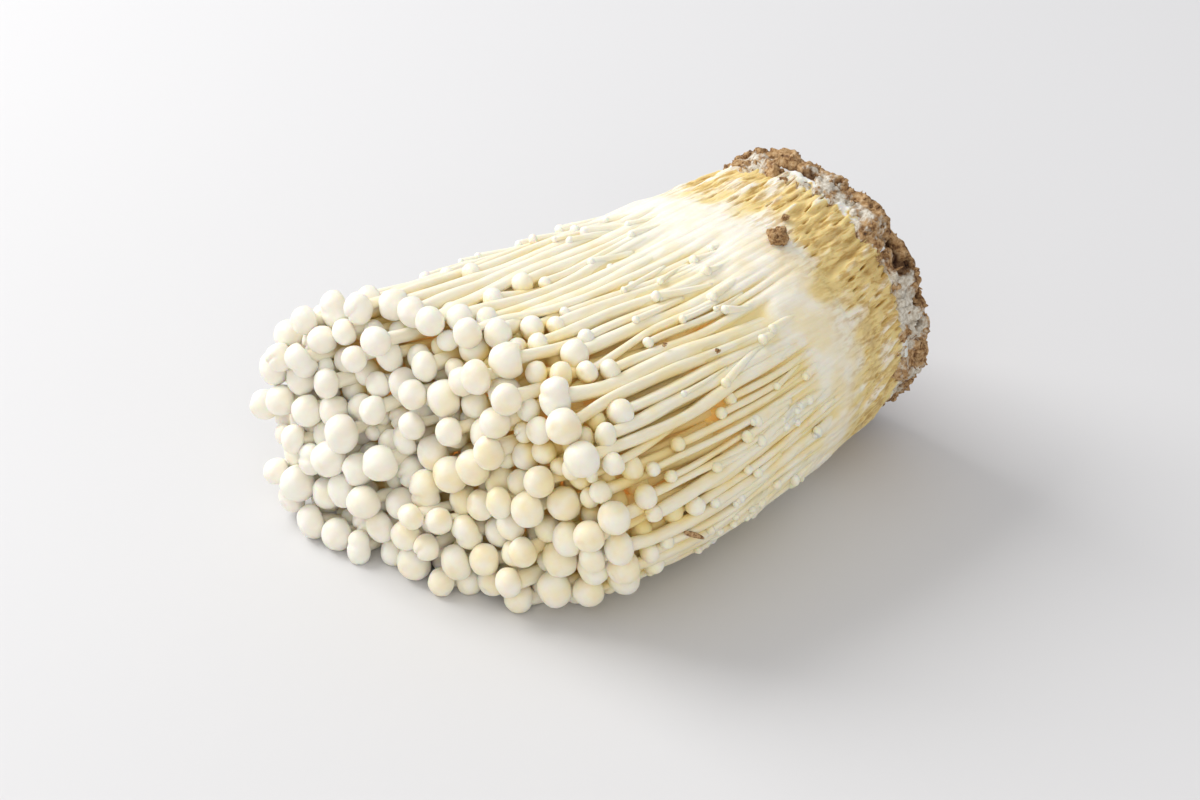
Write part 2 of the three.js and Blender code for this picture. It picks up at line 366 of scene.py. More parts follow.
def sawdust_grain_group():
    """Packed wood grains from dark to tan, and cottony white threads where Threads is high."""
    inputs = {"Grains": 600.0, "Threads": 0.0}
    outputs = {"Color": "NodeSocketColor", "Height": "NodeSocketFloat"}
    group, given, result = new_group("sawdust_grain", inputs, outputs)
    grains = noise(group, given["Grains"], 4.0, 0.7)
    wood = colours_over(group, grains, [
        (0.31, (0.060, 0.028, 0.012)), (0.42, (0.27, 0.135, 0.052)),
        (0.52, (0.52, 0.31, 0.135)), (0.65, (0.71, 0.50, 0.28))])
    fluff = noise(group, 380.0, 4.0, 0.65)
    threads = worked_out(group, "ADD", given["Threads"], fluff)
    cover = between(group, threads, 0.86, 1.06)
    cotton = colours_over(group, noise(group, 1100.0, 3.0), [
        (0.30, (0.50, 0.42, 0.31)), (0.62, (0.90, 0.85, 0.74))])
    group.links.new(mixed(group, cover, wood, cotton), result["Color"])
    fine = noise(group, 1700.0, 4.0, 0.7)
    group.links.new(worked_out(group, "ADD", grains, fine), result["Height"])
    return group


sawdust_grain = sawdust_grain_group()


def sawdust_material(name, grains):
    """Sawdust with so many grains to a metre, with painted shade in its hollows."""
    material, tree, shader = new_material(name, 0.93)
    grain = placed_group(tree, sawdust_grain, grains=grains, threads=painted(tree, "threads"))
    # Painted shade: the sawdust turns deep brown in the crust's pits and cracks.
    hollow_shade_tint = colours_over(tree, painted(tree, "hollow_shade"), [
        (0.25, (1.0, 1.0, 1.0)), (0.9, (0.16, 0.10, 0.06))])
    colour = mixed(tree, 1.0, grain["Color"], hollow_shade_tint, "MULTIPLY")
    tree.links.new(colour, shader.inputs["Base Color"])
    raise_surface(tree, shader, grain["Height"], 0.5)
    return material


CRUST_AROUND = 540
CRUST_STEP = 0.42
EDGE_REACH = 3.0
EDGE_WANDER = 2.8
EDGE_LIMITS = (0.5, 6.0)
LUMP_HEIGHT = 1.7
KNOB_HEIGHT = 0.85
CRACK_DEPTH = 0.9
PIT_DEPTH = 2.2

# The crust's outline from the middle of its back to the foot: share of the way out, distance.
CRUST_PROFILE = [(0.02, -9.0), (0.5, -9.2), (0.93, -8.8), (1.01, -7.8), (1.035, -6.0)]
CRUST_PROFILE += [(1.035, -4.0), (1.03, -2.0), (1.01, -0.6), (0.98, 0.5), (0.85, 1.5), (0.05, 1.5)]
packed_sawdust = sawdust_material("packed_sawdust", 620.0)

profile = np.array(CRUST_PROFILE)
profile_steps = np.hypot(np.diff(profile[:, 0]) * FOOT_RADIUS, np.diff(profile[:, 1]))
profile_run = np.concatenate([[0.0], np.cumsum(profile_steps)])
run = np.arange(0.0, profile_run[-1], CRUST_STEP)[:, None]
share = np.interp(run, profile_run, profile[:, 0])
distance = np.interp(run, profile_run, profile[:, 1])
angle = np.linspace(-math.pi, math.pi, CRUST_AROUND, endpoint=False)[None, :]
wandering = EDGE_REACH + EDGE_WANDER * unevenness(round_the_sheaf(angle, 0.0), 9.0, 3, 5)
distance = distance + np.clip(wandering, *EDGE_LIMITS) * smoothstep(distance, -5.0, -0.5)
smooth = place(angle, share, distance)
lumps = unevenness(smooth, 9.0, 2, 3) * LUMP_HEIGHT + unevenness(smooth, 2.4, 3, 7) * KNOB_HEIGHT
cracks = 1.0 - smoothstep(np.abs(unevenness(smooth, 5.0, 2, 11)), 0.0, 0.16)
pits = smoothstep(unevenness(smooth, 3.4, 1, 13), 0.36, 0.55)
rough = lumps - CRACK_DEPTH * cracks - PIT_DEPTH * pits
outwards = smoothstep(distance, -9.0, -7.5) * smoothstep(share, 0.86, 0.98)
backwards = smoothstep(-distance, 7.0, 9.0)
crust_points = place(angle, share * (1.0 + rough * outwards / FOOT_RADIUS), distance, 0.1)
crust_points[..., 0] += rough * backwards
nearness = smoothstep(distance, -8.5, -1.5)
threads = 0.20 + 0.28 * nearness + 0.34 * unevenness(smooth, 8.0, 2, 19) - 0.3 * pits
# How much painted shade lies in the crust's pits and cracks, less of it on the lumps.
hollow_shade = np.clip(0.8 * pits + 0.5 * cracks - 0.4 * smoothstep(lumps, 0.0, 1.2), 0.0, 1.0)
add_piece(
    "crust_block", with_ends(crust_points), drum_faces(len(run), CRUST_AROUND), packed_sawdust,
    "substrate_crust", {"threads": with_ends(threads), "hollow_shade": with_ends(hollow_shade)},
    drum_map(len(run), CRUST_AROUND))

# Loose grains and slivers stand out of the block all over its rim and its back.
chance = np.random.default_rng(41)


def grain_shape():
    """The corners and faces of a ball of 80 faces."""
    golden = (1.0 + math.sqrt(5.0)) / 2.0
    corners = [Vector(c).normalized() for c in (
        (-1, golden, 0), (1, golden, 0), (-1, -golden, 0), (1, -golden, 0),
        (0, -1, golden), (0, 1, golden), (0, -1, -golden), (0, 1, -golden),
        (golden, 0, -1), (golden, 0, 1), (-golden, 0, -1), (-golden, 0, 1))]
    faces = [(0, 11, 5), (0, 5, 1), (0, 1, 7), (0, 7, 10), (0, 10, 11), (1, 5, 9), (5, 11, 4),
             (11, 10, 2), (10, 7, 6), (7, 1, 8), (3, 9, 4), (3, 4, 2), (3, 2, 6), (3, 6, 8),
             (3, 8, 9), (4, 9, 5), (2, 4, 11), (6, 2, 10), (8, 6, 7), (9, 8, 1)]
    halves = {}
    split = []
    for face in faces:
        middles = []
        for one, other in zip(face, face[1:] + face[:1]):
            edge = frozenset((one, other))
            if edge not in halves:
                halves[edge] = len(corners)
                corners.append(((corners[one] + corners[other]) / 2.0).normalized())
            middles.append(halves[edge])
        split.append(tuple(middles))
        for step in range(3):
            split.append((face[step], middles[step], middles[step - 1]))
    return np.array([list(c) for c in corners]), np.array(split)


grain_corners, grain_faces = grain_shape()


def turned_at_random(count):
    """Random rotation matrices."""
    quaternions = chance.normal(size=(count, 4))
    w, x, y, z = (quaternions / np.linalg.norm(quaternions, axis=1, keepdims=True)).T
    rows = [1 - 2 * (y * y + z * z), 2 * (x * y - z * w), 2 * (x * z + y * w),
            2 * (x * y + z * w), 1 - 2 * (x * x + z * z), 2 * (y * z - x * w),
            2 * (x * z - y * w), 2 * (y * z + x * w), 1 - 2 * (x * x + y * y)]
    return np.stack(rows, axis=-1).reshape(count, 3, 3)


def grains_at(centres, radii, slenderness):
    """Points and faces of knobbly grains. A slenderness of 1 is round, and 6 a sliver."""
    count = len(centres)
    knobs = 1.0 + chance.uniform(-0.28, 0.28, size=(count, len(grain_corners), 1))
    shapes = grain_corners[None] * knobs
    widths = np.stack([slenderness, np.ones(count), chance.uniform(0.6, 1.0, count)], axis=-1)
    shapes = shapes * widths[:, None, :] * radii[:, None, None]
    points = np.einsum("nij,nkj->nki", turned_at_random(count), shapes) + centres[:, None, :]
    points[..., 2] = np.maximum(points[..., 2], 0.05)
    first = np.arange(count)[:, None, None] * len(grain_corners)
    return points.reshape(-1, 3), (grain_faces[None] + first).reshape(-1, 3)


GRAINS = 1500
SLIVERS = 260
FIRST_GRAIN_ROW = 2
PART_WITH_GRAINS = 0.86
loose_sawdust = sawdust_material("loose_sawdust", 900.0)
count = GRAINS + SLIVERS
row = chance.integers(FIRST_GRAIN_ROW, int(PART_WITH_GRAINS * len(run)), count)
column = chance.integers(0, CRUST_AROUND, count)
is_sliver = np.arange(count) >= GRAINS
sliver_radii = chance.uniform(0.16, 0.30, count)
grain_radii = 0.3 + 0.75 * chance.random(count) ** 3
radii = np.where(is_sliver, sliver_radii, grain_radii)
slenderness = np.where(is_sliver, chance.uniform(4.0, 9.0, count), chance.uniform(1.0, 1.8, count))
centres = crust_points[row, column]
grain_points, grain_triangles = grains_at(centres, radii, slenderness)
whiteness = np.repeat(threads[row, column] - 0.22, len(grain_corners))
add_piece("crust_grains", grain_points, [grain_triangles], loose_sawdust,
          "substrate_crust", {"threads": whiteness, "hollow_shade": np.zeros(len(whiteness))})


# ---- Foot ----
# The lowest part of the stems, grown into one firm mass against the crust. It has yellowed,
# and it is all short ridges along the stems with narrow slits where they haven't quite met.

FOOT_AROUND = 1080
FOOT_STEP = 0.36
SLIT_PITCH = 2.5
SLIT_SPACING = 6.0
SLIT_RARITY = 0.86
SLIT_DEPTH = 1.5
SEAM_OVERLAP = 1.2
SEAM_DEPTH = 0.6
TUFT_HEIGHT = 0.5
# Strength of the painted glow that stands for light shining through the flesh.
LIGHT_THROUGH_FLESH = 0.10
# The flesh's pale colour, and the yellow and deep orange that painted shade turns it.
PALE_FLESH = (0.95, 0.905, 0.76, 1.0)
WARM_FLESH = (0.95, 0.79, 0.40, 1.0)
DEEP_FLESH = (0.94, 0.60, 0.18, 1.0)
NO_GLOW = (0.0, 0.0, 0.0, 1.0)


def flesh_group():
    """Mushroom flesh: pale, and yellower to deep orange as painted shade, bounce light and yellowing
    add up.
    """
    inputs = {"Shelter": 0.0, "Pale": PALE_FLESH, "Warm": WARM_FLESH, "Deep": DEEP_FLESH,
              "Fibres": 900.0}
    outputs = {"Color": "NodeSocketColor", "Glow": "NodeSocketColor", "Height": "NodeSocketFloat"}
    group, given, result = new_group("mushroom_flesh", inputs, outputs)
    cloudy = noise(group, 130.0, 3.0)
    shift = between(group, cloudy, 0.3, 0.7, -0.07, 0.07)
    shaded_or_yellowed = worked_out(group, "ADD", given["Shelter"], shift)
    warm_part = between(group, shaded_or_yellowed, 0.0, 0.34)
    deep_part = between(group, shaded_or_yellowed, 0.36, 1.05)
    outside = mixed(group, warm_part, given["Pale"], given["Warm"])
    colour = mixed(group, deep_part, outside, given["Deep"])
    fibres = noise(group, given["Fibres"], 3.0, 0.6, (0.05, 1.0, 1.0))
    streak = colours_over(group, fibres, [(0.35, (0.93, 0.91, 0.86)), (0.6, (1.0, 1.0, 1.0))])
    group.links.new(mixed(group, 0.6, colour, streak, "MULTIPLY"), result["Color"])
    # A painted glow of the deep orange where the painted shade is deepest.
    group.links.new(mixed(group, deep_part, NO_GLOW, given["Deep"]), result["Glow"])
    group.links.new(fibres, result["Height"])
    return group


mushroom_flesh = flesh_group()


def slits_at(angle, distance):
    """How far into a slit each point is: 0 outside and 1 along its middle."""
    cells_round = int(2.0 * math.pi * FOOT_RADIUS / SLIT_PITCH)
    across = (angle + math.pi) / (2.0 * math.pi) * cells_round
    along = distance / SLIT_SPACING
    depth = np.zeros(np.broadcast_shapes(across.shape, along.shape))
    for step_across in (-1, 0, 1):
        for step_along in (-1, 0, 1):
            cell_across = np.floor(across) + step_across
            cell_along = np.floor(along) + step_along
            turn = cell_across % cells_round
            key = np.broadcast_arrays(turn * 1.7 + 0.5, cell_along * 2.3 + 0.5, 0.5)
            key = np.stack(key, axis=-1)
            luck = [0.5 + 0.5 * lattice_noise(key, 50 + k) * 1.6 for k in range(5)]
            middle_across = cell_across + 0.5 + 0.35 * (luck[0] - 0.5)
            middle_along = cell_along + 0.5 + 0.5 * (luck[1] - 0.5)
            half_length = 0.20 + 0.3 * luck[2]
            half_width = 0.07 + 0.13 * luck[3]
            lean = 0.5 * (luck[4] - 0.5)
            off_along = along - middle_along
            off_across = across - middle_across - lean * off_along
            gap = (off_across / half_width) ** 2 + (off_along / half_length) ** 2
            open_here = luck[0] + luck[2] > SLIT_RARITY
            depth = np.maximum(depth, np.where(open_here, 1.0 - smoothstep(gap, 0.0, 1.2), 0.0))
    return depth


def foot_relief(angle, distance):
    """Height, yellowing and slits of the foot's rind, which fade out into the skin above it."""
    ridges = unevenness(round_the_sheaf(angle, distance, 4.0, FOOT_RADIUS), 1.6, 2, 41)
    streaks = unevenness(round_the_sheaf(angle, distance, 5.0, FOOT_RADIUS), 2.6, 2, 53)
    swells = unevenness(round_the_sheaf(angle, distance, 1.6, FOOT_RADIUS), 8.0, 2, 43)
    fade = 1.0 - smoothstep(distance + 7.0 * swells, 12.0, 31.0)
    ragged = smoothstep(distance, -0.3, 2.0) * fade
    slits = slits_at(angle, distance) * ragged * smoothstep(swells, -0.75, 0.1)
    height = (0.15 + 0.70 * ragged) * fade * ridges + 0.6 * fade * swells - SLIT_DEPTH * slits
    patches = 0.5 + 0.5 * unevenness(round_the_sheaf(angle, distance, 1.0), 9.0, 2, 47)
    tinge = 0.07 + 0.40 * patches + 0.24 * streaks - 0.36 * ridges
    yellow = np.clip(tinge * ragged, 0.0, 1.0)
    return height, yellow, slits


def painted_bounce_light(angle):
    """How much painted warm bounce light creams the flesh: none on the bunch's longer side, most on
    its shorter one.
    """
    return 0.13 * (0.5 - 0.5 * np.cos(angle)) ** 1.5


def aged_at(distance):
    """How far the outside has yellowed with age: 1 at the crust, 0 up on the white skin."""
    return 1.0 - smoothstep(distance, 16.0, 36.0)


distance = np.arange(-0.35, FOOT_LENGTH + SEAM_OVERLAP, FOOT_STEP)[:, None]
angle = np.linspace(-math.pi, math.pi, FOOT_AROUND, endpoint=False)[None, :]
foot_height, yellow, slits = foot_relief(angle, distance)
fluffy = unevenness(round_the_sheaf(angle, distance, 1.0), 5.0, 2, 49)
cotton = (0.75 + 0.5 * fluffy) * (1.0 - smoothstep(distance + 3.5 * fluffy, 0.8, 5.0))
tufts = unevenness(round_the_sheaf(angle, distance, 1.0, FOOT_RADIUS), 1.3, 2, 51)
foot_height = foot_height + TUFT_HEIGHT * np.clip(cotton, 0.0, 1.0) * tufts
under_skin = SEAM_DEPTH * (np.clip(distance - FOOT_LENGTH, 0.0, None) / SEAM_OVERLAP) ** 2
foot_points = place(angle, 1.0 + (foot_height - under_skin) / FOOT_RADIUS, distance, 0.05)
foot_aged = np.broadcast_to(aged_at(distance), yellow.shape)
# The foot's real yellowing, with the painted warm bounce light added on the bunch's shorter side.
foot_yellowing_and_bounce = yellow + painted_bounce_light(angle)
foot_values = {"shelter": with_ends(foot_yellowing_and_bounce), "slit": with_ends(slits),
               "cotton": with_ends(cotton), "aged": with_ends(foot_aged)}

rind, tree, shader = new_material("foot_rind", 0.60, 0.3, 2.0)
aged = painted(tree, "aged")
warm = mixed(tree, aged, (0.90, 0.74, 0.36, 1.0), (0.85, 0.67, 0.29, 1.0))
deep = mixed(tree, aged, DEEP_FLESH, (0.56, 0.37, 0.11, 1.0))
flesh = placed_group(tree, mushroom_flesh, shelter=painted(tree, "shelter"), fibres=800.0,
                     pale=(0.95, 0.905, 0.79, 1.0), warm=warm, deep=deep)
# Painted shade in the slits: yellow-brown towards their edges and dark brown along their middles.
slit_shade = colours_over(tree, painted(tree, "slit"), [
    (0.15, (1.0, 1.0, 1.0)), (0.55, (0.80, 0.66, 0.36)), (0.98, (0.26, 0.17, 0.07))])
stain_mask = between(tree, noise(tree, 95.0, 4.0, 0.6), 0.58, 0.72, 0.0, 0.55)
stain_mask = worked_out(tree, "MULTIPLY", stain_mask, aged)
stained = mixed(tree, stain_mask, flesh["Color"], (0.46, 0.30, 0.13, 1.0))
strokes = noise(tree, 700.0, 3.0, 0.6, (0.25, 1.0, 1.0))
stroke_tint = colours_over(tree, strokes, [(0.38, (0.64, 0.49, 0.26)), (0.53, (1.0, 1.0, 1.0))])
stroked = mixed(tree, worked_out(tree, "MULTIPLY", aged, 0.8), stained, stroke_tint, "MULTIPLY")
cotton_edge = worked_out(tree, "ADD", painted(tree, "cotton"), noise(tree, 420.0, 3.0))
cotton_mask = between(tree, cotton_edge, 0.85, 1.15)
cottony = mixed(tree, cotton_mask, stroked, (0.86, 0.84, 0.78, 1.0))
slitted = mixed(tree, 1.0, cottony, slit_shade, "MULTIPLY")
tree.links.new(slitted, shader.inputs["Base Color"])
# The painted glow shows on the skin and fades out towards the aged foot.
tree.links.new(mixed(tree, aged, flesh["Glow"], NO_GLOW), shader.inputs["Emission Color"])
shader.inputs["Emission Strength"].default_value = LIGHT_THROUGH_FLESH
raise_surface(tree, shader, flesh["Height"], 0.2)
add_piece("foot_mass", with_ends(foot_points), drum_faces(len(distance), FOOT_AROUND), rind,
          "stem_base", foot_values, drum_map(len(distance), FOOT_AROUND))


# ---- Stems and caps ----
# Nearly five hundred mushrooms in 37 tufts. Each is a soft solid stem with a small round cap
# whose edge is still rolled in. The short ones stopped growing part of the way up. They all
# press on each other, so they are laid out first and then pushed apart.

TUFTS_PER_RING = (1, 6, 12, 18)
SLICE = 5.0
FIRST_SLICE = 20.0
LAST_SLICE = 150.0
UNEVEN_PLACING = 0.22
UNEVEN_SHARE = 0.012
MOST_DRIFT = 3.4
USUAL_DRIFT = 1.1
DRIFTERS = 0.2
WAVE_LENGTHS = (45.0, 90.0)
CLUMPING = 3.4
SETTLING_ROUNDS = 130

# There are four kinds: the foremost, those just behind them, stunted ones, and pins. How big
# the cap of each kind is, how far it stays behind the foremost, and how thick its stem is.
PIN = 3
CAP_SIZES = ((3.6, 4.9), (2.7, 3.8), (2.1, 3.2), (1.25, 2.0))
STAYS_BEHIND = ((0.0, 6.0), (6.0, 15.0), (5.0, 30.0), (12.0, 52.0))
STEM_SIZES = ((1.35, 2.1), (1.2, 1.85), (1.1, 1.7), (0.8, 1.35))

# The rows of stems in a tuft of each ring: share of the section, how many side by side, and
# the chances of each kind.
OUTER_ROWS = [(0.966, 6, (0.32, 0.10, 0.22, 0.36)), (0.89, 5, (0.22, 0.42, 0.24, 0.12))]
OUTER_ROWS += [(0.815, 4, (0.18, 0.52, 0.30, 0.0)), (0.75, 2, (0.25, 0.50, 0.25, 0.0))]
INNER_ROWS = [(0.66, 4, (0.34, 0.42, 0.24, 0.0)), (0.57, 3, (0.34, 0.42, 0.24, 0.0))]
INNER_ROWS += [(0.475, 3, (0.34, 0.42, 0.24, 0.0))]
CORE_ROWS = [(0.375, 4, (0.34, 0.42, 0.24, 0.0)), (0.275, 3, (0.34, 0.42, 0.24, 0.0))]
CORE_ROWS += [(0.18, 2, (0.34, 0.42, 0.24, 0.0))]
MIDDLE_ROWS = [(0.07, 3, (0.34, 0.42, 0.24, 0.0))]
ROWS = (MIDDLE_ROWS, CORE_ROWS, INNER_ROWS, OUTER_ROWS)

grown = []
tuft = 0
for ring, tufts in enumerate(TUFTS_PER_RING):
    for index in range(tufts):
        tuft += 1
        for row, (row_share, side_by_side, likely) in enumerate(ROWS[ring]):
            for place_in_row in range(side_by_side):
                kind = int(chance.choice(len(CAP_SIZES), p=likely))
                uneven = chance.uniform(-UNEVEN_PLACING, UNEVEN_PLACING)
                across = (place_in_row + 0.5 + uneven) / side_by_side
                stem_angle = 2.0 * math.pi * (index + across) / tufts
                stem_share = row_share + chance.uniform(-UNEVEN_SHARE, UNEVEN_SHARE)
                reach = full_length(stem_angle, stem_share)
                cap = chance.uniform(*CAP_SIZES[kind])
                stem = chance.uniform(*STEM_SIZES[kind])
                length = reach - chance.uniform(*STAYS_BEHIND[kind])
                grown.append((tuft, ring, row, kind, stem_angle, stem_share, length, cap, stem))

columns = [np.array(column) for column in zip(*grown)]
tuft_of, ring_of, row_of, kind_of, angle_of, share_of, length_of, cap_of, stem_of = columns
stems = len(grown)
is_outermost = (ring_of == len(TUFTS_PER_RING) - 1) & (row_of == 0)

slices = np.arange(FIRST_SLICE, LAST_SLICE + 0.5 * SLICE, SLICE)[:, None]
looseness = smoothstep(slices, 40.0, 100.0)
drift = chance.normal(0.0, 1.0, (2, stems))
drift = drift * np.where(chance.random(stems) < DRIFTERS, MOST_DRIFT, USUAL_DRIFT)
wave_length = chance.uniform(*WAVE_LENGTHS, (2, stems))
wave_start = chance.uniform(0.0, 2.0 * math.pi, (2, stems))
waves = np.sin(2.0 * math.pi * slices[None] / wave_length[:, None] + wave_start[:, None])
sideways = looseness * (drift[0] * smoothstep(slices, 45.0, 120.0) + waves[0])
inwards = looseness * (np.abs(drift[1]) * 0.5 + 0.8 * waves[1])
mean_girth = girth(angle_of[None], slices)
clumps = unevenness(round_the_sheaf(angle_of[None], slices + 300.0 * row_of, 9.0), 9.0, 2, 29)
sideways = sideways + CLUMPING * clumps * smoothstep(slices, 40.0, 80.0)
wandering_angle = angle_of + sideways / mean_girth
wandering_share = np.clip(share_of - inwards / mean_girth, 0.0, 1.0)
start_places = place(wandering_angle, wandering_share, slices, lowest=1.6)
paths = start_places[..., 1:].copy()


# How hard stems and caps push each other off, as shares of their overlap.
STEM_PUSH = 0.42
CAP_PUSH = 0.36
LENGTH_PUSH = 0.12
PASSING_PUSH = 0.16
CAP_YIELDS = 0.5

# The most that each may move in a round, and how much of its move a path keeps after it.
MOST_CAP_MOVE = 1.5
MOST_STEM_MOVE = 1.0
MOST_LENGTH_MOVE = 0.4
MOST_SHORTER = 5.0
MOST_LONGER = 2.5
KEPT_MOVE = 0.996

# Stems are squeezed where they leave the foot, and stand free of each other further up.
SQUEEZED = 0.72
LET_GO = 0.26
TOO_CLOSE = 1e-6

every_stem = np.arange(stems)
itself = np.eye(stems, dtype=bool)
stem_reach = stem_of[:, None] + stem_of[None]
cap_reach = cap_of[:, None] + cap_of[None]
tightness = SQUEEZED + LET_GO * smoothstep(slices, 35.0, 80.0)


def stems_pushed(paths, tip_row):
    """How far each stem is pushed at each slice by the stems that it presses on there."""
    push = np.zeros_like(paths)
    for step in range(2, len(slices)):
        present = np.flatnonzero(tip_row > step - 0.6)
        if len(present) < 2:
            continue
        here = paths[step, present]
        apart = here[:, None] - here[None]
        gap = np.sqrt((apart ** 2).sum(axis=-1)) + TOO_CLOSE
        wanted = stem_reach[np.ix_(present, present)] * tightness[step]
        overlap = np.clip(wanted - gap, 0.0, None)
        np.fill_diagonal(overlap, 0.0)
        push[step, present] += (apart / gap[..., None] * overlap[..., None]).sum(axis=1) * STEM_PUSH
    return push


def caps_pushed(tips, tip_distance):
    """How far each cap is pushed, sideways and lengthwise, by the caps that it presses on."""
    along = tip_distance[:, None] - tip_distance[None]
    apart = tips[:, None] - tips[None]
    gap = np.sqrt((apart ** 2).sum(axis=-1) + along ** 2) + TOO_CLOSE
    overlap = np.where(itself, 0.0, np.clip(cap_reach - gap, 0.0, None))
    cap_push = (apart / gap[..., None] * overlap[..., None]).sum(axis=1) * CAP_PUSH
    length_push = (along / gap * overlap).sum(axis=1) * LENGTH_PUSH
    return cap_push, length_push


def make_way_for_caps(paths, tips, tip_row, push, cap_push):
    """Adds the push between each cap and the stems that go past it, at three of its levels."""
    for offset in (-0.6, 0.0, 0.6):
        level = tip_row + offset * cap_of / SLICE
        lower = np.clip(level.astype(int), 0, len(slices) - 2)
        part = (level - lower)[:, None, None]
        passing = paths[lower] * (1.0 - part) + paths[lower + 1] * part
        apart = passing - tips[:, None]
        gap = np.sqrt((apart ** 2).sum(axis=-1)) + TOO_CLOSE
        cap_width = cap_of * math.sqrt(1.0 - offset ** 2)
        wanted = 0.96 * (cap_width[:, None] + stem_of[None])
        goes_past = tip_row[None] > level[:, None] + 0.3
        overlap = np.clip(wanted - gap, 0.0, None) * (goes_past & ~itself)
        force = apart / gap[..., None] * overlap[..., None] * PASSING_PUSH
        cap_push -= force.sum(axis=1) * CAP_YIELDS
        for cap in range(stems):
            push[lower[cap]] += force[cap]
            push[lower[cap] + 1] += force[cap]


def smoothed(moved, low_row):
    """Moves that are even from slice to slice and carry on as they are beyond each tip."""
    beyond = np.arange(len(slices))[:, None] > low_row[None] + 1
    for step in range(1, len(slices)):
        moved[step] = np.where(beyond[step][:, None], moved[step - 1], moved[step])
    eased = moved.copy()
    eased[1:-1] = (moved[:-2] + 2.0 * moved[1:-1] + moved[2:]) / 4.0
    return eased


def kept_inside(paths, tip_row):
    """Paths that stay above the ground and within the sheaf's outline."""
    at_tip = np.abs(np.arange(len(slices))[:, None] - tip_row[None]) * SLICE < cap_of
    lowest = np.where(at_tip, cap_of * 0.92, stem_of)
    paths[..., 1] = np.maximum(paths[..., 1], lowest)
    back_along = np.broadcast_to(sheaf_origin[0] - slices, paths.shape[:2])
    spot = np.stack([back_along, paths[..., 0], paths[..., 1]], axis=-1)
    at_angle, at_share, _ = unplace(spot)
    widest = 1.0 - np.where(at_tip, 0.55 * cap_of, stem_of) / girth(at_angle, slices)
    over = np.clip(at_share - widest, 0.0, None)
    inside = place(at_angle, at_share - 0.7 * over, slices)[..., 1:]
    return np.where((over > 0.0)[..., None], np.maximum(inside, [-1e9, 1.0]), paths)


def spread_apart(paths, length_of):
    """Pushes stems and caps off each other, a little at each round, and keeps them smooth."""
    first_length = length_of
    for _ in range(SETTLING_ROUNDS):
        tip_row = (length_of - cap_of - FIRST_SLICE) / SLICE
        low_row = np.clip(tip_row.astype(int), 0, len(slices) - 2)
        part = (tip_row - low_row)[:, None]
        tips = paths[low_row, every_stem] * (1.0 - part)
        tips = tips + paths[low_row + 1, every_stem] * part
        push = stems_pushed(paths, tip_row)
        cap_push, length_push = caps_pushed(tips, length_of - cap_of)
        make_way_for_caps(paths, tips, tip_row, push, cap_push)
        cap_push = np.clip(cap_push, -MOST_CAP_MOVE, MOST_CAP_MOVE)
        np.add.at(push, (low_row, every_stem), cap_push)
        np.add.at(push, (low_row + 1, every_stem), cap_push)
        push = np.clip(push, -MOST_STEM_MOVE, MOST_STEM_MOVE)
        paths = paths + push * looseness[..., None] ** 0.5
        moved = paths - start_places[..., 1:]
        paths = start_places[..., 1:] + smoothed(moved, low_row) * KEPT_MOVE
        length_of = length_of + np.clip(length_push, -MOST_LENGTH_MOVE, MOST_LENGTH_MOVE)
        length_of = np.clip(length_of, first_length - MOST_SHORTER, first_length + MOST_LONGER)
        paths = kept_inside(paths, tip_row)
    return paths, length_of


paths, length_of = spread_apart(paths, length_of)

# How many millimetres of stems or caps lie over a point that is in full painted shade.
SIDE_SHELTER = 16.0
FRONT_SHELTER = 14.0
OPEN_FRONT = 9.0


def painted_shade_and_bounce_of(points):
    """Painted shade from the rest of the bunch: 0 on a point's outside, 1 deep inside, plus bounce
    light.
    """
    at_angle, at_share, at_distance = unplace(points)
    from_side = (1.0 - at_share) * girth(at_angle, at_distance) / SIDE_SHELTER
    foremost = full_length(at_angle, np.minimum(at_share, 1.0))
    from_front = (foremost - OPEN_FRONT - at_distance) / FRONT_SHELTER
    return np.clip(np.minimum(from_side, from_front), 0.0, 1.0) + painted_bounce_light(at_angle)


SURFACE_STEMS_FROM = 35.0
INNER_STEMS_FROM = 46.0
STEM_RINGS = 46


def middle_line(stem):
    """Points along the middle of a stem, evenly spaced, up to the middle of its cap."""
    first = SURFACE_STEMS_FROM if is_outermost[stem] else INNER_STEMS_FROM
    tip = length_of[stem] - cap_of[stem]
    distance = np.linspace(first, tip, STEM_RINGS)
    level = (distance - FIRST_SLICE) / SLICE
    lower = np.clip(level.astype(int), 1, len(slices) - 3)
    t = (level - lower)[:, None]
    before, one, other, after = (paths[lower + k, stem] for k in (-1, 0, 1, 2))
    bend = 2.0 * before - 5.0 * one + 4.0 * other - after
    twist = 3.0 * (one - other) + after - before
    curve = one + 0.5 * t * (other - before + t * (bend + t * twist))
    slanted = place(angle_of[stem], share_of[stem], distance)[:, :1]
    return np.concatenate([slanted, curve], axis=1)


STEM_SIDES = 12
CAP_RINGS = 17
PIN_RINGS = 10
CAP_SIDES = 26
PIN_SIDES = 16

# The share of caps with a dent, then of those with a dent or a crease, then with a waist too.
DENTED = 0.22
CREASED = 0.28
WAISTED = 0.34
DENT_DEPTH = 0.13
CREASE_DEPTH = 0.16
WAIST_DEPTH = 0.14

# A cap's outline from the stem round its rolled edge to its crown: how far out and how high.
CAP_OUTLINE = [(0.05, -0.40), (0.33, -0.42), (0.48, -0.55), (0.66, -0.61), (0.84, -0.50)]
CAP_OUTLINE += [(0.96, -0.24), (1.0, 0.03), (0.965, 0.30), (0.86, 0.55), (0.70, 0.74)]
CAP_OUTLINE += [(0.50, 0.87), (0.26, 0.955), (0.05, 0.985)]


def frames_along(line, outwards):
    """Directions along, outwards and across a line at each of its points."""
    along = np.gradient(line, axis=0)
    along /= np.linalg.norm(along, axis=1, keepdims=True)
    out = outwards - (along * outwards).sum(axis=1, keepdims=True) * along
    out /= np.linalg.norm(out, axis=1, keepdims=True)
    return along, out, np.cross(along, out)


